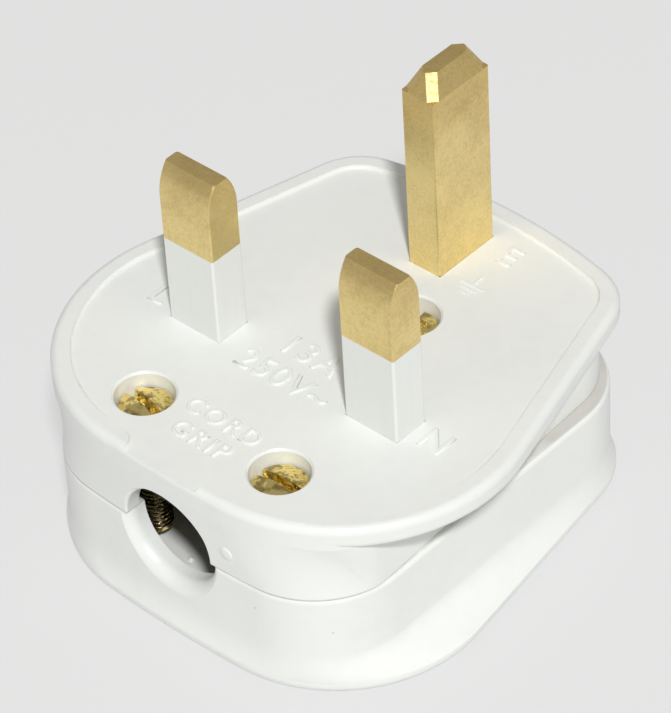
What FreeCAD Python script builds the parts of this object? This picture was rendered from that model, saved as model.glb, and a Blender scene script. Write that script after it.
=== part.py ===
import FreeCAD, Part
import math
import os
from dataclasses import dataclass

# A rewireable British pattern 13 A plug, lying on its back with the pins up.
# Millimetres. The origin is on the flat back, midway between the live and neutral pins in plan.
# +X points to the neutral pin, +Y to the earth pin and +Z to the pin tips.

Vector = FreeCAD.Vector

# Housing depths along Z
cover_depth = 11.9
base_depth = 8.5
rim_height = 0.4
plate_thickness = 2.6
cover_floor = 2.0

# Plan of the pin face flange: half width at the live-neutral line, lean of the sides, reach of both ends
flange_half_width = 25.1
flange_taper = 15.2
flange_cord_reach = 18.6
flange_earth_reach = 30.4
flange_cord_corner = 18.0
flange_earth_corner = 6.5
flange_thickness = 2.5
flange_edge_round = 0.8

# Plan of the joint between base and cover, and of the grip wall of the base above it
joint_half_width = 19.5
joint_cord_reach = 18.3
joint_earth_reach = 29.2
joint_cord_corner = 9.5
joint_earth_corner = 9.0
joint_edge_round = 0.6
grip_half_width = 18.8
grip_taper = 2.7
grip_earth_reach = 28.6
grip_earth_corner = 7.5
grip_crease_round = 5.0
base_wall = 1.7
cover_wall = 2.4

# Plan of the back, which flares out from the cover's walls
back_half_width = 22.7
back_taper = 7.9
back_cord_reach = 18.85
back_earth_reach = 29.7
back_cord_corner = 15.4
back_earth_corner = 9.0
back_edge_height = 1.5
back_edge_round = 1.2
flare_height = 3.1
flare_steps = 5

# Radii of the slightly crowned ends
cord_crown = 150.0
earth_crown = 60.0

# Raised rim of the pin face, open in front of the cord entry
rim_width = 1.9
rim_gap = 9.0
rim_gap_round = 2.0
rim_foot_round = 0.35

# Cord entry, centred on the joint
entry_radius = 5.3
entry_cover_lip = 1.4
entry_base_lip = 0.35

# Pins: pattern, sections and lengths above the rim
pin_pitch = 22.23
earth_offset = 22.23
line_pin_width = 6.35
line_pin_thickness = 3.97
line_pin_length = 17.7
earth_pin_width = 3.97
earth_pin_thickness = 7.92
earth_pin_length = 22.4
pin_edge_round = 0.25
line_nose_height = 3.3
line_nose_flat = 1.7
line_nose_bulge = 0.22
earth_nose_flat = 1.75
earth_nose_height = 2.2
earth_nose_setback = 1.15
earth_nose_corner = 0.7
sleeve_length = 9.3
sleeve_wall = 0.7
slot_clearance = 0.02

# Pin heads inside the base, with their wire holes
head_shoulder = 0.4
head_front = 3.0
neutral_head_rear = 7.6
neutral_head_height = 6.4
live_head_rear = 3.0
live_head_height = 5.4
earth_head_front = 5.2
earth_head_rear = 4.1
earth_head_height = 6.8
wire_hole_radius = 1.7
wire_hole_drop = 2.8
wire_hole_overrun = 1.4

# Terminal screws, which clamp the wires from the cover side
terminal_screw_radius = 1.5
terminal_screw_length = 3.6
terminal_screw_gap = 0.8
terminal_head_radius = 2.3
terminal_head_height = 1.4
terminal_head_dome = 0.2
terminal_slot_width = 0.8
terminal_slot_depth = 0.8
neutral_screw_y = 4.8
earth_screw_setback = 2.6
thread_clearance = 0.05

# Live terminal block, joined to the pin by the fuse
terminal_width = 5.2
terminal_length = 8.0
terminal_centre_x = -4.7
terminal_front_y = 6.4
terminal_screw_setback = 2.5
terminal_rivet_setback = 1.5

# Cartridge fuse and its clips
fuse_length = 25.4
fuse_cap_radius = 3.15
fuse_cap_length = 5.5
fuse_cap_wall = 0.25
fuse_body_radius = 2.85
clip_thickness = 0.5
clip_clearance = 0.05
clip_length = 5.0
clip_half_width = 2.9
clip_strap_width = 3.0
clip_mouth_half_angle = 50.0
clip_lip_length = 1.2
clip_lip_angle = 25.0
rivet_radius = 1.0
rivet_head_radius = 1.5
rivet_length = 3.0
fuse_bay_clearance = 0.3
saddle_thickness = 1.6
saddle_depth = 1.4
saddle_margin = 6.0

# Screws of the cord grip and of the cover, driven from the pin face
grip_screw_pitch = 17.0
grip_screw_setback = 6.8
grip_screw_radius = 1.45
grip_screw_length = 13.7
live_grip_screw_turn = 78.0
neutral_grip_screw_turn = 92.0
cover_screw_turn = 20.0
cover_screw_x = 3.4
cover_screw_y = 12.3
cover_screw_radius = 1.75
cover_screw_length = 11.0
screw_head_radius = 2.6
screw_head_height = 1.7
screw_head_dome = 0.5
screw_slot_width = 0.9
screw_slot_depth = 1.3
screw_tip_chamfer = 0.55
screw_mouth_radius = 2.95
screw_mouth_bevel = 0.2
screw_seat_radius = 2.8
screw_seat_depth = 3.2
screw_hole_clearance = 0.2
boss_wall = 1.2
grip_boss_depth = 2.6

# Cord clamp bar and the nuts that draw it up
bar_clearance = 0.1
bar_thickness = 3.0
bar_width = 6.6
bar_corner_round = 1.6
bar_end_margin = 3.4
bar_saddle_radius = 5.0
bar_saddle_depth = 1.2
grip_nut_width = 5.2
grip_nut_height = 1.8

# Cover nut and the washer that keeps the cover screw captive
cover_nut_width = 6.0
cover_nut_height = 5.0
cover_nut_depth = 0.4
cover_boss_radius = 4.3
washer_radius = 3.4
washer_thickness = 0.8
nut_clearance = 0.05

# Posts in the cover that hold the pin heads against the base
post_width = 3.0

# Room for rounding when edges are picked by their place
place_tolerance = 1e-5

# Levels that follow from the sizes above
joint_z = cover_depth
face_z = cover_depth + base_depth
rim_z = face_z + rim_height
plate_z = face_z - plate_thickness
neutral_x = pin_pitch / 2
live_x = -pin_pitch / 2
sleeve_z = rim_z + sleeve_length
live_head_z = plate_z - live_head_height
neutral_head_z = plate_z - neutral_head_height
earth_head_z = plate_z - earth_head_height
clip_z = live_head_z - clip_thickness
clip_radius = fuse_cap_radius + clip_clearance
fuse_z = clip_z - clip_radius
fuse_start_y = -fuse_cap_length / 2
fuse_end_y = fuse_start_y + fuse_length
screw_seat_z = face_z - screw_seat_depth
bar_top_z = plate_z - grip_boss_depth - bar_clearance
bar_z = bar_top_z - bar_thickness
grip_screw_xs = (-grip_screw_pitch / 2, grip_screw_pitch / 2)
grip_screw_y = grip_screw_setback - joint_cord_reach


@dataclass(frozen=True)
class Shield:
    """Plan outline with two leaning sides, two crowned ends and four round corners."""
    half_width: float
    taper: float
    cord_reach: float
    earth_reach: float
    cord_corner: float
    earth_corner: float
    cord_crown: float = cord_crown
    earth_crown: float = earth_crown

    def inset(self, by):
        """The parallel outline that lies the given distance inside this one."""
        side = by / math.cos(math.radians(self.taper))
        return Shield(self.half_width - side, self.taper, self.cord_reach - by, self.earth_reach - by,
                      self.cord_corner - by, self.earth_corner - by,
                      self.cord_crown - by, self.earth_crown - by)

    def blend(self, other, share):
        """The outline part of the way from this one to another."""
        pairs = zip(vars(self).values(), vars(other).values())
        return Shield(*(mine + (theirs - mine) * share for mine, theirs in pairs))

    def end_sizes(self, end):
        """Reach, corner radius and crown radius of an end, 1 for the earth end and -1 for the cord end."""
        if end > 0:
            return self.earth_reach, self.earth_corner, self.earth_crown
        return self.cord_reach, self.cord_corner, self.cord_crown

    def outward(self):
        """The direction that the +X side faces."""
        lean = math.radians(self.taper)
        return Vector(math.cos(lean), math.sin(lean), 0)

    def crown_centre(self, end):
        """The centre of the arc of a crowned end."""
        reach, _, crown = self.end_sizes(end)
        return Vector(0, end * (reach - crown), 0)

    def corner_centre(self, end):
        """The centre of the +X corner arc, which touches the side and the crowned end."""
        _, radius, crown = self.end_sizes(end)
        return touching_centre(self, radius, self.crown_centre(end), crown, end)

    def corner(self, end):
        """Start on the side, middle and finish on the end of the +X corner arc."""
        outward = self.outward()
        centre = self.corner_centre(end)
        endward = (centre - self.crown_centre(end)).normalize()
        middle = (outward + endward).normalize()
        radius = self.end_sizes(end)[1]
        return centre + outward * radius, centre + middle * radius, centre + endward * radius

    def wire(self, z):
        """The closed outline at a height."""
        earth_side, earth_middle, earth_end = self.corner(1)
        cord_side, cord_middle, cord_end = self.corner(-1)
        edges = [
            Part.LineSegment(cord_side, earth_side),
            Part.Arc(earth_side, earth_middle, earth_end),
            Part.Arc(earth_end, Vector(0, self.earth_reach, 0), mirrored(earth_end)),
            Part.Arc(mirrored(earth_end), mirrored(earth_middle), mirrored(earth_side)),
            Part.LineSegment(mirrored(earth_side), mirrored(cord_side)),
            Part.Arc(mirrored(cord_side), mirrored(cord_middle), mirrored(cord_end)),
            Part.Arc(mirrored(cord_end), Vector(0, -self.cord_reach, 0), cord_end),
            Part.Arc(cord_end, cord_middle, cord_side),
        ]
        return Part.Wire([edge.toShape() for edge in edges]).translated(Vector(0, 0, z))

    def prism(self, low, high):
        """The outline extruded between two heights."""
        return Part.Face(self.wire(low)).extrude(Vector(0, 0, high - low))


def mirrored(point):
    """A plan point on the other side of the plug's middle plane."""
    return Vector(-point.x, point.y, point.z)


def touching_centre(outline, radius, large_centre, large_radius, end):
    """The centre of an arc that touches an outline's +X side and, from inside, a larger arc."""
    outward = outline.outward()
    along = Vector(-outward.y, outward.x, 0)
    start = outward * (outline.half_width * outward.x - radius)
    offset = start - large_centre
    run = offset.dot(along)
    reach = math.sqrt(run ** 2 - offset.dot(offset) + (large_radius - radius) ** 2)
    return start + along * (end * reach - run)


def block(x_low, x_high, y_low, y_high, z_low, z_high):
    """A rectangular block between limits."""
    return Part.makeBox(x_high - x_low, y_high - y_low, z_high - z_low, Vector(x_low, y_low, z_low))


def centred_block(x, y, width, length, z_low, z_high):
    """A rectangular block about a vertical axis."""
    return block(x - width / 2, x + width / 2, y - length / 2, y + length / 2, z_low, z_high)


def upright(x, y, radius, z_low, z_high):
    """A cylinder about a vertical axis."""
    return Part.makeCylinder(radius, z_high - z_low, Vector(x, y, z_low))


def lengthwise(x, z, radius, y_low, y_high):
    """A cylinder along Y."""
    return Part.makeCylinder(radius, y_high - y_low, Vector(x, y_low, z), Vector(0, 1, 0))


def domed(radius, height, dome):
    """A short cylinder on the Z axis with a shallow domed top."""
    ball_radius = (radius ** 2 + dome ** 2) / (2 * dome)
    ball = Part.makeSphere(ball_radius, Vector(0, 0, height + dome - ball_radius))
    return upright(0, 0, radius, 0, height + dome).common(ball)


def edges_at(shape, z):
    """The edges of a shape that lie flat at a height."""
    return [edge for edge in shape.Edges
            if all(abs(vertex.Z - z) < place_tolerance for vertex in edge.Vertexes)]


def upright_edges(shape):
    """The straight vertical edges of a shape."""
    return [edge for edge in shape.Edges
            if max(edge.BoundBox.XLength, edge.BoundBox.YLength) < place_tolerance]


flange = Shield(flange_half_width, flange_taper, flange_cord_reach, flange_earth_reach,
                flange_cord_corner, flange_earth_corner)
joint = Shield(joint_half_width, 0.0, joint_cord_reach, joint_earth_reach,
               joint_cord_corner, joint_earth_corner)
grip = Shield(grip_half_width, grip_taper, joint_cord_reach, grip_earth_reach,
              joint_cord_corner, grip_earth_corner)
back = Shield(back_half_width, back_taper, back_cord_reach, back_earth_reach,
              back_cord_corner, back_earth_corner)


def cord_entry(lip):
    """The round cord hole through the end wall, with a rounded mouth, as a solid to cut away."""
    face_y = -joint_cord_reach
    inner_y = -(joint_cord_reach - cover_wall - base_wall)
    wide = entry_radius + lip
    turn = lip * math.sqrt(0.5)
    mouth = Part.Arc(Vector(wide, face_y, 0), Vector(wide - turn, face_y + lip - turn, 0),
                     Vector(entry_radius, face_y + lip, 0)).toShape()
    rest = Part.makePolygon([
        Vector(entry_radius, face_y + lip, 0), Vector(entry_radius, inner_y, 0), Vector(0, inner_y, 0),
        Vector(0, face_y - cover_wall, 0), Vector(wide, face_y - cover_wall, 0), Vector(wide, face_y, 0)])
    profile = Part.Face(Part.Wire([mouth] + rest.Edges))
    hole = profile.revolve(Vector(0, 0, 0), Vector(0, 1, 0), 360)
    return hole.translated(Vector(0, 0, joint_z))


def screw_hole(x, y, shank_radius):
    """A coned recess for a screw head in the pin face, with the shank's hole down to the joint."""
    seat = Vector(x, y, screw_seat_z)
    recess = Part.makeCone(screw_seat_radius, screw_mouth_radius, screw_seat_depth, seat)
    bevel = Part.makeCone(screw_mouth_radius, screw_mouth_radius + screw_mouth_bevel, screw_mouth_bevel,
                          Vector(x, y, face_z - screw_mouth_bevel))
    shank = upright(x, y, shank_radius + screw_hole_clearance, joint_z, screw_seat_z)
    return recess.fuse([bevel, shank])


def face_recess():
    """The shallow recess inside the rim, which runs out over the cord entry, as a solid to cut away."""
    field = flange.inset(rim_width).prism(face_z, rim_z)
    gap = block(-rim_gap / 2, rim_gap / 2, -flange_cord_reach - rim_width, 0, face_z, rim_z)
    recess = field.fuse(gap).removeSplitter()
    ends = [edge for edge in upright_edges(recess)
            if abs(abs(edge.Vertexes[0].X) - rim_gap / 2) < place_tolerance
            and edge.Vertexes[0].Y > -flange_cord_reach]
    recess = recess.makeFillet(rim_gap_round, ends)
    return recess.makeFillet(rim_foot_round, edges_at(recess, face_z))


def pin_slot(x, y, width, length):
    """A slot through the base plate for a pin."""
    room = 2 * slot_clearance
    return centred_block(x, y, width + room, length + room, plate_z, rim_z)


def wall_wire(outline, z):
    """The walls' outline at a height: an outline's cord end, with its sides cut back to the grips."""
    cord_end = outline.corner(-1)[2]
    corner_centre = outline.corner_centre(-1)
    crease_centre = touching_centre(grip, grip_crease_round, corner_centre, outline.cord_corner, -1)
    creaseward = (crease_centre - corner_centre).normalize()
    crease_start = corner_centre + creaseward * outline.cord_corner
    crease_side = crease_centre + grip.outward() * grip_crease_round
    crease_middle = crease_centre + (creaseward + grip.outward()).normalize() * grip_crease_round
    endward = (cord_end - corner_centre).normalize()
    corner_middle = corner_centre + (endward + creaseward).normalize() * outline.cord_corner
    earth_side, earth_middle, earth_end = grip.corner(1)
    half = [
        Part.Arc(cord_end, corner_middle, crease_start),
        Part.Arc(crease_start, crease_middle, crease_side),
        Part.LineSegment(crease_side, earth_side),
        Part.Arc(earth_side, earth_middle, earth_end),
    ]
    ends = [
        Part.Arc(earth_end, Vector(0, grip.earth_reach, 0), mirrored(earth_end)),
        Part.Arc(mirrored(cord_end), Vector(0, -outline.cord_reach, 0), cord_end),
    ]
    right = [edge.toShape() for edge in half]
    left = [edge.mirror(Vector(0, 0, 0), Vector(1, 0, 0)) for edge in reversed(right)]
    edges = right + [ends[0].toShape()] + left + [ends[1].toShape()]
    return Part.Wire(edges).translated(Vector(0, 0, z))


def base_walls(lower_z, upper_z):
    """The walls under the flange, flush with its edge at the cord end."""
    top = wall_wire(flange, lower_z)
    flared = Part.makeLoft([wall_wire(joint, joint_z), top], True, True)
    return flared.fuse(Part.Face(top).extrude(Vector(0, 0, upper_z - lower_z)))


def make_base():
    """The moulding behind the pin face: flange, grip walls, plate and screw bosses."""
    lower_z = rim_z - flange_thickness
    plate = flange.prism(lower_z, rim_z)
    plate = plate.makeFillet(flange_edge_round, edges_at(plate, lower_z) + edges_at(plate, rim_z))
    walls = base_walls(lower_z, rim_z - flange_thickness / 2)
    shell = plate.fuse(walls).cut(grip.inset(base_wall).prism(joint_z, plate_z))
    bosses = [upright(x, grip_screw_y, screw_seat_radius + boss_wall, plate_z - grip_boss_depth, plate_z)
              for x in grip_screw_xs]
    bosses.append(upright(cover_screw_x, cover_screw_y, screw_seat_radius + boss_wall,
                          joint_z + washer_thickness, plate_z))
    holes = [screw_hole(x, grip_screw_y, grip_screw_radius) for x in grip_screw_xs]
    holes.append(screw_hole(cover_screw_x, cover_screw_y, cover_screw_radius))
    holes += [pin_slot(x, 0, line_pin_width, line_pin_thickness) for x in (live_x, neutral_x)]
    holes.append(pin_slot(0, earth_offset, earth_pin_width, earth_pin_thickness))
    return shell.fuse(bosses).cut([face_recess(), cord_entry(entry_base_lip)] + holes).removeSplitter()


def fuse_bay():
    """The room that the fuse and its clips take in the cover, as a solid to cut away."""
    half = clip_radius + clip_thickness + fuse_bay_clearance
    return block(live_x - half, live_x + half, fuse_start_y - fuse_bay_clearance,
                 fuse_end_y + fuse_bay_clearance, cover_floor, joint_z)


def fuse_saddle(y):
    """A rib of the cover that cradles the fuse."""
    rib = centred_block(live_x, y, 2 * fuse_cap_radius, saddle_thickness,
                        cover_floor, fuse_z - fuse_body_radius + saddle_depth)
    return rib.cut(lengthwise(live_x, fuse_z, fuse_body_radius + clip_clearance,
                              y - saddle_thickness, y + saddle_thickness))


def hexagon(x, y, width, z_low, z_high):
    """A hexagonal prism, by its width across flats."""
    radius = width / math.sqrt(3)
    turns = [math.tau * i / 6 for i in range(7)]
    corners = [Vector(x + radius * math.cos(turn), y + radius * math.sin(turn), z_low) for turn in turns]
    return Part.Face(Part.makePolygon(corners)).extrude(Vector(0, 0, z_high - z_low))


def make_cover():
    """The back moulding: straight walls that flare to a wider flat back."""
    flare_top_z = back_edge_height + flare_height
    walls = joint.prism(flare_top_z, joint_z)
    walls = walls.makeFillet(joint_edge_round, edges_at(walls, joint_z))
    sections = []
    for step in range(flare_steps + 1):
        share = step / flare_steps
        sections.append(joint.blend(back, share ** 2).wire(flare_top_z - flare_height * share))
    flare = Part.makeLoft(sections, True, False)
    foot = back.prism(0, back_edge_height)
    foot = foot.makeFillet(back_edge_round, edges_at(foot, 0))
    cavity = joint.inset(cover_wall).prism(cover_floor, joint_z)
    shell = walls.fuse([flare, foot]).cut([cavity, fuse_bay()])
    fittings = [
        upright(cover_screw_x, cover_screw_y, cover_boss_radius, cover_floor, joint_z),
        centred_block(neutral_x, 0, post_width, post_width, cover_floor, neutral_head_z),
        centred_block(0, earth_offset + earth_head_rear - post_width / 2, post_width, post_width,
                      cover_floor, earth_head_z),
        fuse_saddle(fuse_start_y + fuse_cap_length + saddle_margin / 2),
        fuse_saddle(fuse_end_y - fuse_cap_length - saddle_margin / 2),
    ]
    pocket_low = joint_z - cover_nut_depth - cover_nut_height
    holes = [
        hexagon(cover_screw_x, cover_screw_y, cover_nut_width + 2 * nut_clearance, pocket_low, joint_z),
        upright(cover_screw_x, cover_screw_y, cover_screw_radius + screw_hole_clearance,
                cover_floor, pocket_low),
        cord_entry(entry_cover_lip),
    ]
    return shell.fuse(fittings).cut(holes).removeSplitter()


def line_nose(x):
    """The bare end of a live or neutral pin, with long sides that curve in to a narrow flat tip."""
    tip_z = rim_z + line_pin_length
    side = line_pin_thickness / 2
    flat = line_nose_flat / 2
    shoulder_z = tip_z - line_nose_height
    bulge_y = (side + flat) / 2 + line_nose_bulge
    bulge_z = (shoulder_z + tip_z) / 2 + line_nose_bulge
    edges = [
        Part.LineSegment(Vector(0, -side, sleeve_z), Vector(0, side, sleeve_z)),
        Part.LineSegment(Vector(0, side, sleeve_z), Vector(0, side, shoulder_z)),
        Part.Arc(Vector(0, side, shoulder_z), Vector(0, bulge_y, bulge_z), Vector(0, flat, tip_z)),
        Part.LineSegment(Vector(0, flat, tip_z), Vector(0, -flat, tip_z)),
        Part.Arc(Vector(0, -flat, tip_z), Vector(0, -bulge_y, bulge_z), Vector(0, -side, shoulder_z)),
        Part.LineSegment(Vector(0, -side, shoulder_z), Vector(0, -side, sleeve_z)),
    ]
    profile = Part.Face(Part.Wire([edge.toShape() for edge in edges]))
    nose = profile.extrude(Vector(line_pin_width, 0, 0))
    return nose.translated(Vector(x - line_pin_width / 2, 0, 0))


def line_core(x, z_low, z_high):
    """The thinner shank of a live or neutral pin inside its sleeve."""
    width = line_pin_width - 2 * sleeve_wall
    return centred_block(x, 0, width, line_pin_thickness - 2 * sleeve_wall, z_low, z_high)


def make_sleeve(x):
    """The insulating sleeve on the root of a live or neutral pin, flush with the bare end."""
    outer = centred_block(x, 0, line_pin_width, line_pin_thickness, plate_z, sleeve_z)
    outer = outer.makeFillet(pin_edge_round, upright_edges(outer))
    return outer.cut(line_core(x, plate_z, sleeve_z))


def terminal_hole(x, y_front, screw_y, block_z):
    """A wire hole that runs back past the screw hole that crosses it, as a solid to cut away."""
    wire_z = plate_z - wire_hole_drop
    wire = lengthwise(x, wire_z, wire_hole_radius, y_front, screw_y + wire_hole_overrun)
    return wire.fuse(upright(x, screw_y, terminal_screw_radius + thread_clearance, block_z, wire_z))


def rivet_hole(x, y):
    """The countersunk rivet hole through a clip and into the block above it."""
    cone = Part.makeCone(rivet_head_radius, rivet_radius, clip_thickness, Vector(x, y, clip_z))
    return cone.fuse(upright(x, y, rivet_radius, clip_z, clip_z + rivet_length))


def make_neutral_pin():
    """The neutral pin with its wire terminal."""
    nose = line_nose(neutral_x)
    nose = nose.makeFillet(pin_edge_round, upright_edges(nose))
    half = line_pin_width / 2 + head_shoulder
    head = block(neutral_x - half, neutral_x + half, -head_front, neutral_head_rear, neutral_head_z, plate_z)
    pin = nose.fuse([line_core(neutral_x, plate_z, sleeve_z), head])
    return pin.cut(terminal_hole(neutral_x, -head_front, neutral_screw_y, neutral_head_z)).removeSplitter()


def make_live_pin():
    """The live pin, whose head carries a fuse clip."""
    nose = line_nose(live_x)
    nose = nose.makeFillet(pin_edge_round, upright_edges(nose))
    half = line_pin_width / 2 + head_shoulder
    head = block(live_x - half, live_x + half, -head_front, live_head_rear, live_head_z, plate_z)
    pin = nose.fuse([line_core(live_x, plate_z, sleeve_z), head])
    return pin.cut(rivet_hole(live_x, 0)).removeSplitter()


def rectangle(x, y, width, length, z):
    """The closed outline of a rectangle about a vertical axis."""
    corners = [(-1, -1), (1, -1), (1, 1), (-1, 1), (-1, -1)]
    return Part.makePolygon([Vector(x + i * width / 2, y + j * length / 2, z) for i, j in corners])


def make_earth_pin():
    """The longer, heavier earth pin, chamfered all round its tip, with its wire terminal."""
    tip_z = rim_z + earth_pin_length
    shoulder_z = tip_z - earth_nose_height
    tip_length = earth_pin_thickness - 2 * earth_nose_setback
    nose = Part.makeLoft([rectangle(0, earth_offset, earth_pin_width, earth_pin_thickness, shoulder_z),
                          rectangle(0, earth_offset, earth_nose_flat, tip_length, tip_z)], True, True)
    slanting = [edge for edge in nose.Edges if edge.BoundBox.ZLength > place_tolerance]
    nose = nose.makeChamfer(earth_nose_corner, slanting)
    shank = centred_block(0, earth_offset, earth_pin_width, earth_pin_thickness, plate_z, shoulder_z)
    pin = shank.fuse(nose).removeSplitter()
    pin = pin.makeFillet(pin_edge_round, upright_edges(pin))
    half = earth_pin_width / 2 + head_shoulder
    front_y = earth_offset - earth_head_front
    head = block(-half, half, front_y, earth_offset + earth_head_rear, earth_head_z, plate_z)
    hole = terminal_hole(0, front_y, front_y + earth_screw_setback, earth_head_z)
    return pin.fuse(head).cut(hole).removeSplitter()


def make_live_terminal():
    """The block that takes the live wire, on the far side of the fuse from the pin."""
    rear_y = terminal_front_y + terminal_length
    body = block(terminal_centre_x - terminal_width / 2, terminal_centre_x + terminal_width / 2,
                 terminal_front_y, rear_y, live_head_z, plate_z)
    screw_y = terminal_front_y + terminal_screw_setback
    hole = terminal_hole(terminal_centre_x, terminal_front_y, screw_y, live_head_z)
    return body.cut([hole, rivet_hole(terminal_centre_x, rear_y - terminal_rivet_setback)])


def clip_ring(y_low, y_high):
    """The springy hoop of a fuse clip, open towards the cover, with lips that guide the fuse in."""
    ring = lengthwise(live_x, fuse_z, clip_radius + clip_thickness, y_low, y_high)
    ring = ring.cut(lengthwise(live_x, fuse_z, clip_radius, y_low, y_high))
    spread = math.radians(clip_mouth_half_angle)
    centre = Vector(live_x, y_low, fuse_z)
    along = Vector(0, y_high - y_low, 0)
    radials = [Vector(side * math.sin(spread), 0, -math.cos(spread)) for side in (-1, 1)]
    mouth = [centre + radial * (2 * clip_radius) for radial in radials]
    ring = ring.cut(Part.Face(Part.makePolygon([centre] + mouth + [centre])).extrude(along))
    flare = math.radians(clip_lip_angle)
    lips = []
    for side, radial in zip((-1, 1), radials):
        inner = centre + radial * clip_radius
        outer = centre + radial * (clip_radius + clip_thickness)
        out = Vector(side * math.sin(flare), 0, -math.cos(flare)) * clip_lip_length
        lip = Part.Face(Part.makePolygon([inner, outer, outer + out, inner + out, inner]))
        lips.append(lip.extrude(along))
    return ring.fuse(lips)


def make_pin_clip():
    """The fuse clip on the live pin's head."""
    plate = block(live_x - clip_half_width, live_x + clip_half_width,
                  -clip_half_width, clip_half_width, clip_z, live_head_z)
    ring = clip_ring(-clip_length / 2, clip_length / 2)
    return plate.fuse(ring).cut(rivet_hole(live_x, 0)).removeSplitter()


def make_terminal_clip():
    """The fuse clip at the far end, with a strap that runs to the live terminal block."""
    ring_y = fuse_end_y - fuse_cap_length / 2
    rear_y = terminal_front_y + terminal_length
    strap_y = rear_y - clip_strap_width
    terminal_edge = terminal_centre_x + terminal_width / 2
    plate = block(live_x - clip_half_width, live_x + clip_half_width,
                  strap_y, ring_y + clip_length / 2, clip_z, live_head_z)
    strap = block(live_x, terminal_edge, strap_y, rear_y, clip_z, live_head_z)
    ring = clip_ring(ring_y - clip_length / 2, ring_y + clip_length / 2)
    hole = rivet_hole(terminal_centre_x, rear_y - terminal_rivet_setback)
    return plate.fuse([strap, ring]).cut(hole).removeSplitter()


def make_rivets():
    """The flush rivets that hold the clips."""
    rear_y = terminal_front_y + terminal_length
    places = [(live_x, 0), (terminal_centre_x, rear_y - terminal_rivet_setback)]
    return Part.makeCompound([rivet_hole(x, y).removeSplitter() for x, y in places])


def make_fuse_body():
    """The ceramic tube of the fuse, stepped to sit inside its end caps."""
    middle = lengthwise(live_x, fuse_z, fuse_body_radius,
                        fuse_start_y + fuse_cap_length, fuse_end_y - fuse_cap_length)
    core = lengthwise(live_x, fuse_z, fuse_cap_radius - fuse_cap_wall - clip_clearance,
                      fuse_start_y + fuse_cap_wall, fuse_end_y - fuse_cap_wall)
    return middle.fuse(core).removeSplitter()


def make_fuse_caps():
    """The two metal end caps of the fuse."""
    caps = []
    for outer_y, inward in ((fuse_start_y, 1), (fuse_end_y, -1)):
        mouth_y = outer_y + inward * fuse_cap_length
        floor_y = outer_y + inward * fuse_cap_wall
        cap = lengthwise(live_x, fuse_z, fuse_cap_radius, min(outer_y, mouth_y), max(outer_y, mouth_y))
        caps.append(cap.cut(lengthwise(live_x, fuse_z, fuse_cap_radius - fuse_cap_wall,
                                       min(floor_y, mouth_y), max(floor_y, mouth_y))))
    return Part.makeCompound(caps)


def slotted_screw(shank_radius, length, head_radius, head_height, dome, slot_width, slot_depth):
    """A slotted screw on the Z axis, with the underside of its head at the origin and its tip below."""
    shank = upright(0, 0, shank_radius, -length, 0)
    shank = shank.makeChamfer(screw_tip_chamfer, edges_at(shank, -length))
    top_z = head_height + dome
    slot = centred_block(0, 0, slot_width, 2 * head_radius, top_z - slot_depth, top_z)
    return domed(head_radius, head_height, dome).cut(slot).fuse(shank)


def placed(shape, x, y, z, turn=0.0, upside_down=False):
    """A copy of a shape turned about Z, perhaps turned over, and moved."""
    copy = shape.copy()
    if upside_down:
        copy.rotate(Vector(0, 0, 0), Vector(1, 0, 0), 180)
    copy.rotate(Vector(0, 0, 0), Vector(0, 0, 1), turn)
    copy.translate(Vector(x, y, z))
    return copy


def make_terminal_screws():
    """The three identical screws that clamp the wires."""
    screw = slotted_screw(terminal_screw_radius, terminal_screw_length, terminal_head_radius,
                          terminal_head_height, terminal_head_dome, terminal_slot_width, terminal_slot_depth)
    places = [
        (neutral_x, neutral_screw_y, neutral_head_z),
        (0, earth_offset - earth_head_front + earth_screw_setback, earth_head_z),
        (terminal_centre_x, terminal_front_y + terminal_screw_setback, live_head_z),
    ]
    return Part.makeCompound([placed(screw, x, y, z - terminal_screw_gap, upside_down=True)
                              for x, y, z in places])


def face_screw(shank_radius, length):
    """A screw driven from the pin face."""
    return slotted_screw(shank_radius, length, screw_head_radius, screw_head_height, screw_head_dome,
                         screw_slot_width, screw_slot_depth)


def make_grip_screws():
    """The two screws of the cord grip."""
    screw = face_screw(grip_screw_radius, grip_screw_length)
    turns = (live_grip_screw_turn, neutral_grip_screw_turn)
    return Part.makeCompound([placed(screw, x, grip_screw_y, screw_seat_z, turn)
                              for x, turn in zip(grip_screw_xs, turns)])


def make_cover_screw():
    """The screw that holds the cover."""
    screw = face_screw(cover_screw_radius, cover_screw_length)
    return placed(screw, cover_screw_x, cover_screw_y, screw_seat_z, cover_screw_turn)


def make_washer():
    """The fibre washer that keeps the cover screw in the base."""
    ring = upright(cover_screw_x, cover_screw_y, washer_radius, joint_z, joint_z + washer_thickness)
    return ring.cut(upright(cover_screw_x, cover_screw_y, cover_screw_radius + thread_clearance,
                            joint_z, joint_z + washer_thickness))


def make_cover_nut():
    """The long nut set in the cover's boss."""
    top_z = joint_z - cover_nut_depth
    nut = hexagon(cover_screw_x, cover_screw_y, cover_nut_width, top_z - cover_nut_height, top_z)
    return nut.cut(upright(cover_screw_x, cover_screw_y, cover_screw_radius + thread_clearance,
                           top_z - cover_nut_height, top_z))


def make_grip_bar():
    """The bar that clamps the cord, hollowed for it, with pockets for its nuts."""
    length = grip_screw_pitch + 2 * bar_end_margin
    bar = centred_block(0, grip_screw_y, length, bar_width, bar_z, bar_top_z)
    bar = bar.makeFillet(bar_corner_round, upright_edges(bar))
    hollow_z = bar_top_z + bar_saddle_radius - bar_saddle_depth
    cuts = [lengthwise(0, hollow_z, bar_saddle_radius, grip_screw_y - bar_width, grip_screw_y + bar_width)]
    pocket = grip_nut_width + 2 * nut_clearance
    for x in grip_screw_xs:
        cuts.append(upright(x, grip_screw_y, grip_screw_radius + screw_hole_clearance, bar_z, bar_top_z))
        cuts.append(centred_block(x, grip_screw_y, pocket, pocket, bar_z, bar_z + grip_nut_height))
    return bar.cut(cuts)


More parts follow.
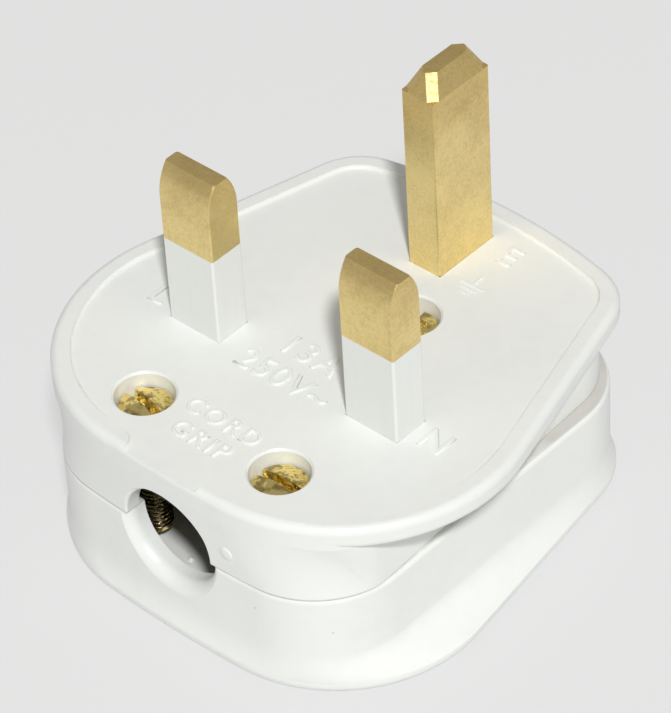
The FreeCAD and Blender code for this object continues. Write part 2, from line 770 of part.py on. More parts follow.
def make_grip_nuts():
    """The two square nuts under the clamp bar."""
    nuts = []
    for x in grip_screw_xs:
        nut = centred_block(x, grip_screw_y, grip_nut_width, grip_nut_width, bar_z, bar_z + grip_nut_height)
        nuts.append(nut.cut(upright(x, grip_screw_y, grip_screw_radius + thread_clearance,
                                    bar_z, bar_z + grip_nut_height)))
    return Part.makeCompound(nuts)


nodes = {
    "base": make_base(),
    "cover": make_cover(),
    "earth_pin": make_earth_pin(),
    "neutral_pin": make_neutral_pin(),
    "live_pin": make_live_pin(),
    "neutral_pin_sleeve": make_sleeve(neutral_x),
    "live_pin_sleeve": make_sleeve(live_x),
    "live_terminal": make_live_terminal(),
    "terminal_screws": make_terminal_screws(),
    "live_pin_fuse_clip": make_pin_clip(),
    "terminal_fuse_clip": make_terminal_clip(),
    "clip_rivets": make_rivets(),
    "fuse_body": make_fuse_body(),
    "fuse_end_caps": make_fuse_caps(),
    "cord_grip_bar": make_grip_bar(),
    "cord_grip_nuts": make_grip_nuts(),
    "cord_grip_screws": make_grip_screws(),
    "cover_screw": make_cover_screw(),
    "cover_screw_washer": make_washer(),
    "cover_nut": make_cover_nut(),
}

os.makedirs("parts", exist_ok=True)
for name, shape in nodes.items():
    shape.exportStep(f"parts/{name}.step")
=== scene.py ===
"""A rewireable British pattern mains plug in white plastic with brass pins, lying on its back.

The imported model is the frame, in metres: +X is the neutral side, +Y the earth end and +Z the pin tips.
"""
import math
import bmesh
import bpy
from bpy.props import FloatProperty, FloatVectorProperty, PointerProperty
from mathutils import Matrix, Vector


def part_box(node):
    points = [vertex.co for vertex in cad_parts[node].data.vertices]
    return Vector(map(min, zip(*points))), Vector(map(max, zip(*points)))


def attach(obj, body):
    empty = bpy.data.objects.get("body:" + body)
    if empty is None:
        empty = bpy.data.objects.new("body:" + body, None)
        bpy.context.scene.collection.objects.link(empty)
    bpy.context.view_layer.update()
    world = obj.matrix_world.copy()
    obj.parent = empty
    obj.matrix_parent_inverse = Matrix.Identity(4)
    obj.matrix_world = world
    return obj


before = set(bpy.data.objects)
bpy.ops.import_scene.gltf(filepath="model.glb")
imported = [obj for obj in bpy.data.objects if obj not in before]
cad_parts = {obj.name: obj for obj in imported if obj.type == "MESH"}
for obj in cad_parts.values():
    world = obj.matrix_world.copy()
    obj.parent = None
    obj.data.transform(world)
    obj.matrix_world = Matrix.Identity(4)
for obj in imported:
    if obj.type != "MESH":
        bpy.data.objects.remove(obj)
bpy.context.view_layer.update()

bl_info = {
    "name": "Mains Plug",
    "version": (1, 0, 0),
    "blender": (4, 5, 0),
    "location": "View3D > Sidebar > Plug",
    "description": "Finishes a three pin mains plug and sets it on a plain stage",
    "category": "Object",
}

MM = 0.001
BODY = "root"

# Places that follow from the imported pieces
EARTH_PIN_RISE = 22.8 * MM
FACE_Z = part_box("earth_pin")[1].z - EARTH_PIN_RISE
SEAM_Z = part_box("cover")[1].z
GRIP_LOW, GRIP_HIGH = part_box("cord_grip_screws")
GRIP_HEAD = (GRIP_HIGH.y - GRIP_LOW.y) / 2
GRIP_Y = (GRIP_HIGH.y + GRIP_LOW.y) / 2
COVER_LOW, COVER_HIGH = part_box("cover_screw")
COVER_AXIS = (COVER_LOW + COVER_HIGH) / 2


def length(name, description, default):
    """A length property in metres, given in millimetres."""
    return FloatProperty(name=name, description=description, default=default * MM, unit="LENGTH", precision=5)


def colour(name, description, default):
    """A colour property."""
    return FloatVectorProperty(name=name, description=description, default=default, size=3,
                               min=0.0, max=1.0, subtype="COLOR")


def angle(name, description, degrees):
    """An angle property, given in degrees."""
    return FloatProperty(name=name, description=description, default=math.radians(degrees), subtype="ANGLE")


class PlugFinishes(bpy.types.PropertyGroup):
    """The colours of the plug's materials."""
    plastic: colour("Plastic", "White moulding of the base and cover", (0.85, 0.87, 0.845))
    sleeve: colour("Sleeve", "White moulding of the pin sleeves", (0.84, 0.86, 0.83))
    # The speck colour also paints the shade along the joint between base and cover.
    dust_and_joint_shade: colour("Speck", "Dust moulded into the plastic", (0.30, 0.25, 0.20))
    brass: colour("Brass", "Clean brass of the pins", (0.95, 0.765, 0.355))
    # The tarnish colour also paints the dark reflection towards the pin tips.
    tarnish_and_tip_reflection: colour("Tarnish", "Dull brown patches on the pins", (0.50, 0.35, 0.12))
    screw: colour("Screw", "Turned brass of the screws", (0.95, 0.77, 0.30))
    grime: colour("Grime", "Dark deposit in the screw slots", (0.26, 0.19, 0.06))
    # Painted shade: the threads' colour is darkened to stand in for the shadow they lie in inside the plug.
    thread: colour("Thread", "Dark oily brass of the threads", (0.16, 0.13, 0.10))
    ceramic: colour("Ceramic", "Tube of the fuse", (0.76, 0.72, 0.62))
    plating: colour("Plating", "End caps of the fuse", (0.66, 0.66, 0.64))
    fibre: colour("Fibre", "Washer of the cover screw", (0.36, 0.15, 0.09))
    grip: colour("Grip", "Dark fibre bar of the cord grip", (0.07, 0.055, 0.045))


class PlugMarks(bpy.types.PropertyGroup):
    """The raised marks on the pin face."""
    relief: length("Relief", "Height of the marks above the face", 0.17)
    round: length("Edge round", "Rounding of the marks' edges", 0.13)
    rating_height: length("Rating height", "Height of the voltage and current figures", 2.7)
    pin_height: length("Pin letter height", "Height of the letters beside the pins", 2.8)
    grip_height: length("Grip word height", "Height of the words between the grip screws", 2.0)


class PlugThreads(bpy.types.PropertyGroup):
    """The threads of the screws."""
    grip_pitch: length("Grip pitch", "Thread pitch of the cord grip screws", 0.5)
    grip_radius: length("Grip radius", "Radius that the cord grip screws' threads wind at", 1.45)
    grip_start: length("Grip start", "Height of the threads' start above the shank's end", 11.6)
    grip_run: length("Grip run", "Length of the cord grip screws' threads", 10.9)
    cover_pitch: length("Cover pitch", "Thread pitch of the cover screw", 0.6)
    cover_radius: length("Cover radius", "Radius that the cover screw's thread winds at", 1.75)
    cover_start: length("Cover start", "Height of the thread's start above the shank's end", 7.0)
    cover_run: length("Cover run", "Length of the cover screw's thread", 6.4)
    crest: length("Crest", "Height of the thread's crest above the shank", 0.12)


class PlugStage(bpy.types.PropertyGroup):
    """The floor, light and camera."""
    floor: colour("Floor", "Plain pale floor", (0.79, 0.79, 0.79))
    evenness: FloatProperty(name="Evenness", description="Share of the floor's look without light or shadow",
                            default=0.7, min=0.0, max=1.0, subtype="FACTOR")
    fill: colour("Fill", "Soft light from all round", (0.345, 0.338, 0.328))
    azimuth: angle("Azimuth", "Camera's turn about the plug", 44.28)
    elevation: angle("Elevation", "Camera's height above the floor", 41.03)
    roll: angle("Roll", "Camera's lean", -3.61)
    distance: length("Distance", "Camera's distance from its aim", 389.4)
    key_azimuth: angle("Key azimuth", "Key light's turn about the plug", 50.0)
    key_elevation: angle("Key elevation", "Key light's height", 50.0)


class Signal:
    """A value in a material, whose arithmetic adds Math nodes."""

    def __init__(self, finish, output):
        self.finish = finish
        self.output = output

    def math(self, operation, *others):
        """A Math node on this value and others."""
        values = dict(enumerate((self,) + others))
        return self.finish.node("ShaderNodeMath", {"operation": operation}, values)

    def __add__(self, other):
        return self.math("ADD", other)

    def __sub__(self, other):
        return self.math("SUBTRACT", other)

    def __rsub__(self, other):
        return self * -1 + other

    def __mul__(self, other):
        return self.math("MULTIPLY", other)

    __radd__ = __add__
    __rmul__ = __mul__


def pick(sockets, key):
    """A node's socket by its number, its identifier or else its name."""
    if isinstance(key, int):
        return sockets[key]
    for socket in sockets:
        if socket.identifier == key:
            return socket
    return sockets[key]


class Finish:
    """A material under construction, with its nodes and the shader that they feed."""

    def __init__(self, name):
        self.material = bpy.data.materials.new(name)
        self.material.use_nodes = True
        self.tree = self.material.node_tree
        self.shader = self.tree.nodes["Principled BSDF"]
        self.place = self.node("ShaderNodeTexCoord", output="Object")

    def node(self, kind, settings=None, values=None, output=0):
        """A node with its settings, then the values or links of its sockets. Gives one of its outputs."""
        made = self.tree.nodes.new(kind)
        for key, value in (settings or {}).items():
            setattr(made, key, value)
        for key, value in (values or {}).items():
            self.feed(pick(made.inputs, key), value)
        return Signal(self, pick(made.outputs, output))

    def feed(self, socket, value):
        """Links or sets a socket."""
        if isinstance(value, Signal):
            self.tree.links.new(value.output, socket)
        elif socket.type == "RGBA":
            socket.default_value = (*value, 1.0)
        else:
            socket.default_value = value

    def set(self, **values):
        """Links or sets sockets of the shader, by names with underscores for spaces."""
        for key, value in values.items():
            self.feed(self.shader.inputs[key.replace("_", " ")], value)
        return self.material

    def stretched(self, *scale):
        """Object coordinates in millimetres, stretched by dividing each axis."""
        shares = tuple(1 / (MM * share) for share in scale)
        return self.node("ShaderNodeMapping", {}, {"Vector": self.place, "Scale": shares})

    def noise(self, size, detail=3.0, roughness=0.55, stretch=(1, 1, 1)):
        """Noise with features of about a size in millimetres, from 0 to 1."""
        where = self.stretched(*(size * share for share in stretch))
        return self.node("ShaderNodeTexNoise", {},
                         {"Vector": where, "Scale": 1.0, "Detail": detail, "Roughness": roughness})

    def smooth(self, value, low, high):
        """0 below low, 1 above high and a soft step between."""
        return self.node("ShaderNodeMapRange", {"interpolation_type": "SMOOTHSTEP"},
                         {"Value": value, "From Min": low, "From Max": high})

    def blend(self, first, second, share):
        """A colour part of the way from one to another."""
        return self.node("ShaderNodeMix", {"data_type": "RGBA"},
                         {"Factor_Float": share, "A_Color": first, "B_Color": second}, "Result_Color")

    def bump(self, height, depth, strength=1.0):
        """A surface normal from a height, with its depth in millimetres."""
        return self.node("ShaderNodeBump", {},
                         {"Strength": strength, "Distance": depth * MM, "Height": height}, "Normal")

    def specks(self, spacing, radius, share):
        """Sparse round specks: spacing and radius in millimetres, and the share of cells that have one."""
        where = self.stretched(spacing, spacing, spacing)
        settings = {"feature": "F1"}
        values = {"Vector": where, "Scale": 1.0, "Randomness": 0.9}
        distance = self.node("ShaderNodeTexVoronoi", settings, values, "Distance")
        cell = self.node("ShaderNodeTexVoronoi", settings, values, "Color")
        red = self.node("ShaderNodeSeparateColor", {}, {"Color": cell}, "Red")
        dot = 1 - self.smooth(distance, 0.4 * radius / spacing, radius / spacing)
        return dot * red.math("LESS_THAN", share)


def moulded_white(name, base, dust_and_joint_shade, gloss, flow):
    """Glossy moulded plastic: cloudy, faintly rippled, with a few dust specks and painted shade along the
    joint.
    """
    finish = Finish(name)
    cloud = finish.noise(9.0, 3.0)
    streak = finish.noise(1.6, 2.0, stretch=flow)
    shade = tuple(level * 0.965 for level in base)
    tint = finish.blend(shade, base, finish.smooth(cloud * 0.6 + streak * 0.4, 0.25, 0.62))
    tint = finish.blend(tint, dust_and_joint_shade, finish.specks(3.4, 0.16, 0.14) * 0.7)
    # Painted shade: a darker band along the joint between base and cover, where the seam's shadow falls.
    rise = finish.node("ShaderNodeSeparateXYZ", {}, {0: finish.place}, "Z")
    joint_shade = 1 - finish.smooth((rise - SEAM_Z).math("ABSOLUTE"), 0.03 * MM, 0.18 * MM)
    tint = finish.blend(tint, dust_and_joint_shade, joint_shade * finish.smooth(cloud, 0.25, 0.55) * 0.5)
    scuff = finish.noise(2.2, 5.0, 0.65)
    peel = finish.noise(0.55, 2.0) * 0.5 + finish.noise(2.6, 2.0) * 0.5
    return finish.set(Base_Color=tint, Roughness=scuff * 0.16 + gloss, Normal=finish.bump(peel, 0.012),
                      Specular_IOR_Level=0.42)


def pin_brass(name, base, tarnish_and_tip_reflection):
    """Drawn brass: mottled with tarnished patches, browner towards the tips as a painted dark reflection,
    with fine scratches along the pin.
    """
    finish = Finish(name)
    patch = finish.noise(4.2, 5.0, 0.62)
    mottle = finish.noise(0.30, 3.0, 0.6)
    drawn = finish.noise(0.10, 3.0, 0.6, stretch=(1, 1, 28))
    rise = finish.node("ShaderNodeSeparateXYZ", {}, {0: finish.place}, "Z")
    # Painted dark reflection: the brass turns browner towards the tips, in place of the dark surroundings
    # that the upper pins reflect.
    tip_dark_reflection = finish.smooth(rise + (patch - 0.5) * (8 * MM), 31 * MM, 40 * MM)
    dull = finish.smooth(patch * 0.5 + mottle * 0.5, 0.36, 0.70)
    tint = finish.blend(base, tarnish_and_tip_reflection, dull * 0.34 + tip_dark_reflection * 0.30)
    pits = finish.specks(0.9, 0.08, 0.14)
    tint = finish.blend(tint, tuple(level * 0.45 for level in tarnish_and_tip_reflection), pits * 0.5)
    filed = finish.smooth(rise, 36 * MM, 39 * MM)
    dent = finish.noise(0.8, 2.0, 0.5)
    rough = drawn * 0.14 + mottle * 0.12 + dull * 0.06 + filed * 0.14 + 0.27
    grain = drawn * 0.5 + mottle * 0.3 + patch * 1.6 - pits * 0.3 + filed * dent * 7.0
    return finish.set(Base_Color=tint, Metallic=1.0, Roughness=rough, Normal=finish.bump(grain, 0.014))


def turned_brass(name, base, grime, axis_x, axis_y, paired):
    """Turned brass: rings about the screw's axis, burred and darkened in places."""
    finish = Finish(name)
    split = finish.node("ShaderNodeSeparateXYZ", {}, {0: finish.place}, "X")
    along_y = Signal(finish, split.output.node.outputs["Y"])
    across = split.math("ABSOLUTE") if paired else split
    off_x = across - axis_x
    off_y = along_y - axis_y
    radius = (off_x * off_x + off_y * off_y).math("SQRT")
    ring = (radius * (math.tau / (0.3 * MM))).math("SINE")
    burr = finish.noise(1.0, 1.5, 0.5)
    stain = finish.smooth(finish.noise(1.3, 2.0, 0.5), 0.48, 0.64)
    tint = finish.blend(base, grime, stain * 0.8)
    rough = stain * 0.20 + burr * 0.10 + 0.14
    return finish.set(Base_Color=tint, Metallic=1.0, Roughness=rough,
                      Normal=finish.bump(ring * 0.006 + burr, 0.5))


def sheet_metal(name, base, dark, roughness):
    """Rolled or plated metal with faint rolling lines and dull patches."""
    finish = Finish(name)
    roll = finish.noise(0.12, 3.0, 0.6, stretch=(1, 24, 1))
    dull = finish.smooth(finish.noise(2.4, 4.0, 0.6), 0.45, 0.7)
    tint = finish.blend(base, dark, dull * 0.5)
    return finish.set(Base_Color=tint, Metallic=1.0, Roughness=roll * 0.12 + dull * 0.12 + roughness,
                      Normal=finish.bump(roll, 0.006))


def fine_ceramic(name, base):
    """Unglazed ceramic with a fine grain and faint darker flecks."""
    finish = Finish(name)
    grain = finish.noise(0.22, 4.0, 0.6)
    fleck = finish.smooth(finish.noise(0.8, 4.0, 0.6), 0.55, 0.75)
    tint = finish.blend(base, tuple(level * 0.78 for level in base), fleck * 0.6)
    return finish.set(Base_Color=tint, Roughness=grain * 0.2 + 0.6, Normal=finish.bump(grain, 0.02))


def pressed_fibre(name, base):
    """Vulcanised fibre with matted strands."""
    finish = Finish(name)
    strand = finish.noise(0.25, 4.0, 0.65, stretch=(5, 1, 1)) * 0.5
    strand = strand + finish.noise(0.25, 4.0, 0.65, stretch=(1, 5, 1)) * 0.5
    tint = finish.blend(tuple(level * 0.7 for level in base), base, finish.smooth(strand, 0.35, 0.6))
    return finish.set(Base_Color=tint, Roughness=strand * 0.3 + 0.55, Normal=finish.bump(strand, 0.03))


def pale_floor(name, base, evenness):
    """A matt floor that looks even to the camera and in reflections, and still takes a shadow."""
    finish = Finish(name)
    finish.set(Base_Color=base, Roughness=0.9, Specular_IOR_Level=0.1)
    glow = finish.node("ShaderNodeEmission", {}, {"Color": base, "Strength": 1.0})
    rays = [finish.node("ShaderNodeLightPath", {}, {}, kind)
            for kind in ("Is Camera Ray", "Is Glossy Ray", "Is Transmission Ray")]
    seen = rays[0].math("MAXIMUM", rays[1]).math("MAXIMUM", rays[2])
    surface = finish.node("ShaderNodeMixShader", {},
                          {0: seen * evenness, 1: Signal(finish, finish.shader.outputs[0]), 2: glow})
    finish.feed(finish.tree.nodes["Material Output"].inputs["Surface"], surface)
    return finish.material


def dress(material, *names):
    """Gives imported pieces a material."""
    for name in names:
        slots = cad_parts[name].data.materials
        slots.clear()
        slots.append(material)


def keep(obj):
    """Lets a finished piece ride with the plug."""
    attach(obj, BODY)
    return obj


def add_object(name, data):
    """An object in the scene at the origin."""
    obj = bpy.data.objects.new(name, data)
    bpy.context.scene.collection.objects.link(obj)
    return obj


def as_mesh(obj):
    """The plain mesh of an evaluated object."""
    bpy.context.view_layer.update()
    return bpy.data.meshes.new_from_object(obj.evaluated_get(bpy.context.evaluated_depsgraph_get()))


class DressMouldings(bpy.types.Operator):
    """Gives the white mouldings their plastic"""
    bl_idname = "plug.dress_mouldings"
    bl_label = "Mouldings"

    def execute(self, context):
        looks = context.scene.plug_finishes
        housing = moulded_white("moulded_white", tuple(looks.plastic), tuple(looks.dust_and_joint_shade), 0.28, (1, 1, 1))
        sleeve = moulded_white("sleeve_white", tuple(looks.sleeve), tuple(looks.dust_and_joint_shade), 0.34, (0.3, 0.3, 9))
        dress(housing, "base", "cover")
        dress(sleeve, "live_pin_sleeve", "neutral_pin_sleeve")
        return {"FINISHED"}


class DressPins(bpy.types.Operator):
    """Gives the pins and the live terminal their brass"""
    bl_idname = "plug.dress_pins"
    bl_label = "Pins"

    def execute(self, context):
        looks = context.scene.plug_finishes
        brass = pin_brass("pin_brass", tuple(looks.brass), tuple(looks.tarnish_and_tip_reflection))
        dress(brass, "earth_pin", "neutral_pin", "live_pin", "live_terminal")
        return {"FINISHED"}


class DressFasteners(bpy.types.Operator):
    """Gives the screws, nuts and washer their finishes"""
    bl_idname = "plug.dress_fasteners"
    bl_label = "Fasteners"

    def execute(self, context):
        looks = context.scene.plug_finishes
        screw, grime = tuple(looks.screw), tuple(looks.grime)
        grip_x = (GRIP_HIGH.x - GRIP_LOW.x) / 2 - GRIP_HEAD
        dress(turned_brass("grip_screw_brass", screw, grime, grip_x, GRIP_Y, True), "cord_grip_screws")
        cover = turned_brass("cover_screw_brass", screw, grime, COVER_AXIS.x, COVER_AXIS.y, False)
        dress(cover, "cover_screw")
        nut = sheet_metal("nut_brass", screw, grime, 0.24)
        dress(nut, "cord_grip_nuts", "cover_nut", "terminal_screws")
        dress(pressed_fibre("washer_fibre", tuple(looks.fibre)), "cover_screw_washer")
        dress(pressed_fibre("grip_fibre", tuple(looks.grip)), "cord_grip_bar")
        return {"FINISHED"}


class DressFuse(bpy.types.Operator):
    """Gives the fuse and its clips their finishes"""
    bl_idname = "plug.dress_fuse"
    bl_label = "Fuse"

    def execute(self, context):
        looks = context.scene.plug_finishes
        brass = tuple(looks.brass)
        plating = tuple(looks.plating)
        clip = sheet_metal("clip_brass", brass, tuple(looks.tarnish_and_tip_reflection), 0.22)
        dress(clip, "live_pin_fuse_clip", "terminal_fuse_clip", "clip_rivets")
        dress(fine_ceramic("fuse_ceramic", tuple(looks.ceramic)), "fuse_body")
        dress(sheet_metal("fuse_cap_plating", plating, tuple(level * 0.6 for level in plating), 0.2),
              "fuse_end_caps")
        return {"FINISHED"}


# Height of a capital as a share of the type size
CAPITAL_SHARE = 0.73

# Words on the pin face: text, the setting for its height, centre in millimetres and letter spacing
WORDS = (
    ("L", "pin_height", (-17.1, -0.3), 1.0),
    ("N", "pin_height", (16.9, 0.3), 1.0),
    ("E", "pin_height", (5.2, 24.6), 1.0),
    ("13A", "rating_height", (0.0, 2.0), 1.2),
    ("250V~", "rating_height", (0.2, -2.0), 1.12),
    ("CORD", "grip_height", (0.0, -9.9), 1.25),
    ("GRIP", "grip_height", (0.0, -13.0), 1.25),
)

# Earth sign, in millimetres: middle of its longest bar, stem height, half lengths and spacing of the bars
SIGN_X = 5.2
SIGN_Y = 19.2
SIGN_STEM = 1.5
SIGN_HALVES = (1.3, 0.85, 0.4)
SIGN_SPACING = 0.62


def word_mesh(words, height, centre, letter_space, marks):
    """Raised lettering on the pin face, with round edges and its foot just in the face."""
    curve = bpy.data.curves.new("word", "FONT")
    curve.body = words
    curve.size = height / CAPITAL_SHARE
    curve.align_x = "CENTER"
    curve.align_y = "CENTER"
    curve.space_character = letter_space
    curve.extrude = marks.relief - marks.round
    curve.bevel_depth = marks.round
    curve.bevel_resolution = 2
    curve.offset = -marks.round / 2
    curve.resolution_u = 6
    obj = add_object("word", curve)
    mesh = as_mesh(obj)
    bpy.data.objects.remove(obj)
    mesh.transform(Matrix.Translation(Vector((centre[0] * MM, centre[1] * MM, FACE_Z))))
    return mesh


def bar_mesh(points, marks):
    """A raised bead along plan points in millimetres."""
    curve = bpy.data.curves.new("bar", "CURVE")
    curve.dimensions = "3D"
    curve.bevel_depth = marks.relief
    curve.bevel_resolution = 4
    curve.use_fill_caps = True
    spline = curve.splines.new("POLY")
    spline.points.add(len(points) - 1)
    for point, (x, y) in zip(spline.points, points):
        point.co = (x * MM, y * MM, FACE_Z, 1.0)
    obj = add_object("bar", curve)
    mesh = as_mesh(obj)
    bpy.data.objects.remove(obj)
    return mesh


def shade_smooth(mesh):
    """Smooth shading on each face."""
    for polygon in mesh.polygons:
        polygon.use_smooth = True


def joined(name, meshes):
    """One object from several meshes."""
    shape = bmesh.new()
    for mesh in meshes:
        shape.from_mesh(mesh)
    whole = bpy.data.meshes.new(name)
    shape.to_mesh(whole)
    shape.free()
    shade_smooth(whole)
    return add_object(name, whole)


class MakeMarks(bpy.types.Operator):
    """Raises the generic marks on the pin face: pin letters, earth sign, rating and cord grip words"""
    bl_idname = "plug.make_marks"
    bl_label = "Face marks"

    def execute(self, context):
        marks = context.scene.plug_marks
        meshes = [word_mesh(text, getattr(marks, height), centre, spacing, marks)
                  for text, height, centre, spacing in WORDS]
        meshes.append(bar_mesh([(SIGN_X, SIGN_Y + SIGN_STEM), (SIGN_X, SIGN_Y)], marks))
        for step, half in enumerate(SIGN_HALVES):
            bar_y = SIGN_Y - SIGN_SPACING * step
            meshes.append(bar_mesh([(SIGN_X - half, bar_y), (SIGN_X + half, bar_y)], marks))
        piece = joined("face_marks", meshes)
        piece.data.materials.append(bpy.data.materials["moulded_white"])
        keep(piece)
        return {"FINISHED"}


# Small pips left by the mould: centre, outward direction, radius and height, in millimetres
PIPS = (
    ((7.6, -18.23, 14.55), (0.05, -1.0, -0.05), 0.75, 0.16),
    ((-4.0, -11.85, 2.0), (0.0, 0.0, 1.0), 0.35, 0.3),
)


class MakePips(bpy.types.Operator):
    """Raises the mould's small pips on the cord end and inside the cover"""
    bl_idname = "plug.make_pips"
    bl_label = "Mould pips"

    def execute(self, context):
        shape = bmesh.new()
        for centre, out, radius, height in PIPS:
            turn = Vector(out).to_track_quat("Z", "Y").to_matrix().to_4x4()
            spread = Matrix.Diagonal((radius * MM, radius * MM, height * MM, 1.0))
            place = Matrix.Translation(Vector(centre) * MM) @ turn @ spread
            bmesh.ops.create_uvsphere(shape, u_segments=20, v_segments=12, radius=1.0, matrix=place)
        mesh = bpy.data.meshes.new("mould_pips")
        shape.to_mesh(mesh)
        shape.free()
        shade_smooth(mesh)
        mesh.materials.append(bpy.data.materials["moulded_white"])
        keep(add_object("mould_pips", mesh))
        return {"FINISHED"}


# Points to a turn of a thread, and sides of its section
THREAD_STEPS = 20
THREAD_SIDES = 6


def thread_tree():
    """Geometry Nodes that wind a round thread about each point of a mesh, down from it."""
    tree = bpy.data.node_groups.new("screw_thread", "GeometryNodeTree")
    face = tree.interface
    face.new_socket("Geometry", in_out="INPUT", socket_type="NodeSocketGeometry")
    for name in ("Radius", "Length", "Pitch", "Crest"):
        face.new_socket(name, in_out="INPUT", socket_type="NodeSocketFloat")
    face.new_socket("Material", in_out="INPUT", socket_type="NodeSocketMaterial")
    face.new_socket("Geometry", in_out="OUTPUT", socket_type="NodeSocketGeometry")

    def node(kind, **settings):
        made = tree.nodes.new(kind)
        for key, value in settings.items():
            setattr(made, key, value)
        return made

    link = tree.links.new
    given = node("NodeGroupInput").outputs
    turns = node("ShaderNodeMath", operation="DIVIDE")
    link(given["Length"], turns.inputs[0])
    link(given["Pitch"], turns.inputs[1])
    down = node("ShaderNodeMath", operation="MULTIPLY")
    down.inputs[1].default_value = -1.0
    link(given["Length"], down.inputs[0])
    spiral = node("GeometryNodeCurveSpiral")
    spiral.inputs["Resolution"].default_value = THREAD_STEPS
    link(turns.outputs[0], spiral.inputs["Rotations"])
    link(given["Radius"], spiral.inputs["Start Radius"])
    link(given["Radius"], spiral.inputs["End Radius"])
    link(down.outputs[0], spiral.inputs["Height"])
    section = node("GeometryNodeCurvePrimitiveCircle", mode="RADIUS")
    section.inputs["Resolution"].default_value = THREAD_SIDES
    link(given["Crest"], section.inputs["Radius"])
    tube = node("GeometryNodeCurveToMesh")
    tube.inputs["Fill Caps"].default_value = True
    link(spiral.outputs["Curve"], tube.inputs["Curve"])
    link(section.outputs["Curve"], tube.inputs["Profile Curve"])
    copies = node("GeometryNodeInstanceOnPoints")
    link(given["Geometry"], copies.inputs["Points"])
    link(tube.outputs["Mesh"], copies.inputs["Instance"])
    real = node("GeometryNodeRealizeInstances")
    link(copies.outputs["Instances"], real.inputs["Geometry"])
    skin = node("GeometryNodeSetMaterial")
    link(real.outputs["Geometry"], skin.inputs["Geometry"])
    link(given["Material"], skin.inputs["Material"])
    link(skin.outputs["Geometry"], node("NodeGroupOutput").inputs["Geometry"])
    return tree


def wind_thread(name, tree, tops, radius, run, pitch, crest, material):
    """A thread on each shank that starts at a point, as one plain mesh."""
    seats = bpy.data.meshes.new(name)
    seats.from_pydata(tops, [], [])
    obj = add_object(name, seats)
    modifier = obj.modifiers.new("Thread", "NODES")
    modifier.node_group = tree
    values = {"Radius": radius, "Length": run, "Pitch": pitch, "Crest": crest, "Material": material}
    for item in tree.interface.items_tree:
        if item.in_out == "INPUT" and item.name in values:
            modifier[item.identifier] = values[item.name]
    mesh = as_mesh(obj)
    obj.modifiers.remove(modifier)
    obj.data = mesh
    shade_smooth(mesh)
    return keep(obj)


class MakeThreads(bpy.types.Operator):
    """Winds the threads on the screws' shanks"""
    bl_idname = "plug.make_threads"
    bl_label = "Screw threads"

    def execute(self, context):
        threads = context.scene.plug_threads
        looks = context.scene.plug_finishes
        tree = thread_tree()
        # Painted shade: dark brass for the threads, in place of the shadow inside the plug.
        brass = sheet_metal("thread_brass_painted_shade", tuple(looks.thread), tuple(looks.grip), 0.16)
        grip_z = GRIP_LOW.z + threads.grip_start
        grip_tops = [(x, GRIP_Y, grip_z) for x in (GRIP_LOW.x + GRIP_HEAD, GRIP_HIGH.x - GRIP_HEAD)]
        wind_thread("cord_grip_screw_threads", tree, grip_tops, threads.grip_radius, threads.grip_run,
                    threads.grip_pitch, threads.crest, brass)
        cover_tops = [(COVER_AXIS.x, COVER_AXIS.y, COVER_LOW.z + threads.cover_start)]
        wind_thread("cover_screw_thread", tree, cover_tops, threads.cover_radius, threads.cover_run,
                    threads.cover_pitch, threads.crest, brass)
        return {"FINISHED"}


def facing(azimuth, elevation):
    """The direction from the plug to a point at an azimuth, where 0 is the cord end, and an elevation."""
    flat = math.cos(elevation)
    return Vector((math.sin(azimuth) * flat, -math.cos(azimuth) * flat, math.sin(elevation)))


# Point that the camera looks at
CAMERA_AIM = Vector((-4.87, 10.37, 12.0)) * MM
CAMERA_LENS = 216.45
CAMERA_SENSOR = 36.0

# Key light, in metres and watts
KEY_SIZE = 0.11
KEY_POWER = 14.5
KEY_DISTANCE = 1.4
FLOOR_HALF = 3.0


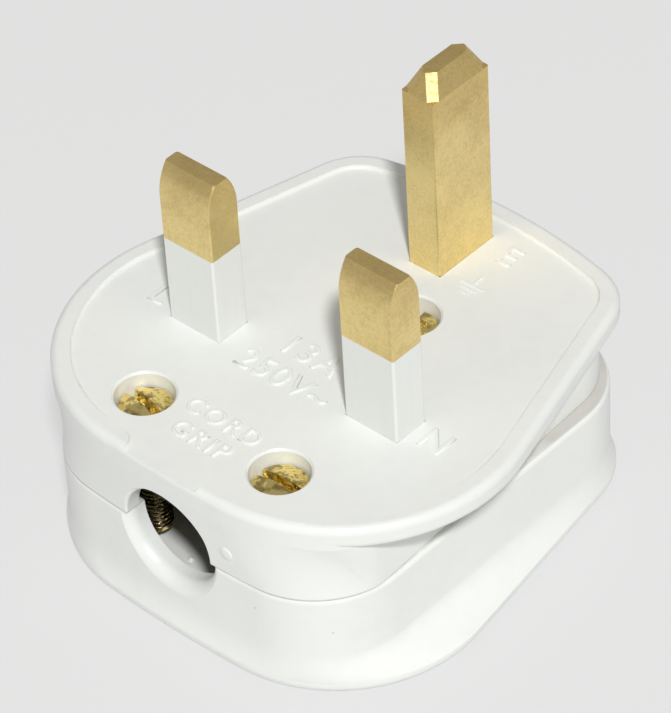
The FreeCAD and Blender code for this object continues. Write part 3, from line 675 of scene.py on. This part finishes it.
class SetStage(bpy.types.Operator):
    """Lays the floor, lights the plug and sets the camera"""
    bl_idname = "plug.set_stage"
    bl_label = "Stage"

    def execute(self, context):
        stage = context.scene.plug_stage
        self.lay_floor(stage)
        self.light(context.scene, stage)
        self.set_camera(context.scene, stage)
        context.scene.view_settings.view_transform = "Standard"
        return {"FINISHED"}

    def lay_floor(self, stage):
        """A wide pale floor under the plug."""
        mesh = bpy.data.meshes.new("floor")
        corners = [(x * FLOOR_HALF, y * FLOOR_HALF, 0) for x, y in ((-1, -1), (1, -1), (1, 1), (-1, 1))]
        mesh.from_pydata(corners, [], [(0, 1, 2, 3)])
        floor = add_object("floor", mesh)
        mesh.materials.append(pale_floor("pale_floor", tuple(stage.floor), stage.evenness))

    def light(self, scene, stage):
        """A soft fill from all round and a key from beside the camera."""
        world = bpy.data.worlds.new("studio")
        world.use_nodes = True
        ground = world.node_tree.nodes["Background"]
        ground.inputs["Color"].default_value = (*stage.fill, 1.0)
        ground.inputs["Strength"].default_value = 1.0
        scene.world = world
        key = bpy.data.lights.new("key", "AREA")
        key.shape = "DISK"
        key.size = KEY_SIZE
        key.energy = KEY_POWER
        obj = add_object("key", key)
        toward = facing(stage.key_azimuth, stage.key_elevation)
        obj.location = toward * KEY_DISTANCE
        obj.rotation_euler = toward.to_track_quat("Z", "Y").to_euler()

    def set_camera(self, scene, stage):
        """The camera at the photograph's angle."""
        data = bpy.data.cameras.new("camera")
        data.sensor_fit = "HORIZONTAL"
        data.sensor_width = CAMERA_SENSOR
        data.lens = CAMERA_LENS
        data.clip_start = 0.01
        camera = add_object("camera", data)
        toward = facing(stage.azimuth, stage.elevation)
        turn = toward.to_track_quat("Z", "Y").to_matrix().to_4x4() @ Matrix.Rotation(stage.roll, 4, "Z")
        camera.matrix_world = Matrix.Translation(CAMERA_AIM + toward * stage.distance) @ turn
        scene.camera = camera


class PlugPanel(bpy.types.Panel):
    """Lists the plug's steps in the 3D view's sidebar"""
    bl_idname = "VIEW3D_PT_plug"
    bl_label = "Mains Plug"
    bl_space_type = "VIEW_3D"
    bl_region_type = "UI"
    bl_category = "Plug"

    def draw(self, context):
        for step in STEPS:
            self.layout.operator(step.bl_idname)


GROUPS = {
    "plug_finishes": PlugFinishes,
    "plug_marks": PlugMarks,
    "plug_threads": PlugThreads,
    "plug_stage": PlugStage,
}
STEPS = (DressMouldings, DressPins, DressFasteners, DressFuse, MakeMarks, MakePips, MakeThreads, SetStage)


def register():
    """Registers the settings, the steps and the panel."""
    for name, group in GROUPS.items():
        bpy.utils.register_class(group)
        setattr(bpy.types.Scene, name, PointerProperty(type=group))
    for step in STEPS:
        bpy.utils.register_class(step)
    bpy.utils.register_class(PlugPanel)


def unregister():
    """Takes the panel, the steps and the settings away again."""
    bpy.utils.unregister_class(PlugPanel)
    for step in reversed(STEPS):
        bpy.utils.unregister_class(step)
    for name, group in reversed(GROUPS.items()):
        delattr(bpy.types.Scene, name)
        bpy.utils.unregister_class(group)


def main():
    """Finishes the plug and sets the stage."""
    register()
    bpy.ops.plug.dress_mouldings()
    bpy.ops.plug.dress_pins()
    bpy.ops.plug.dress_fasteners()
    bpy.ops.plug.dress_fuse()
    bpy.ops.plug.make_marks()
    bpy.ops.plug.make_pips()
    bpy.ops.plug.make_threads()
    bpy.ops.plug.set_stage()


if __name__ == "__main__":
    main()
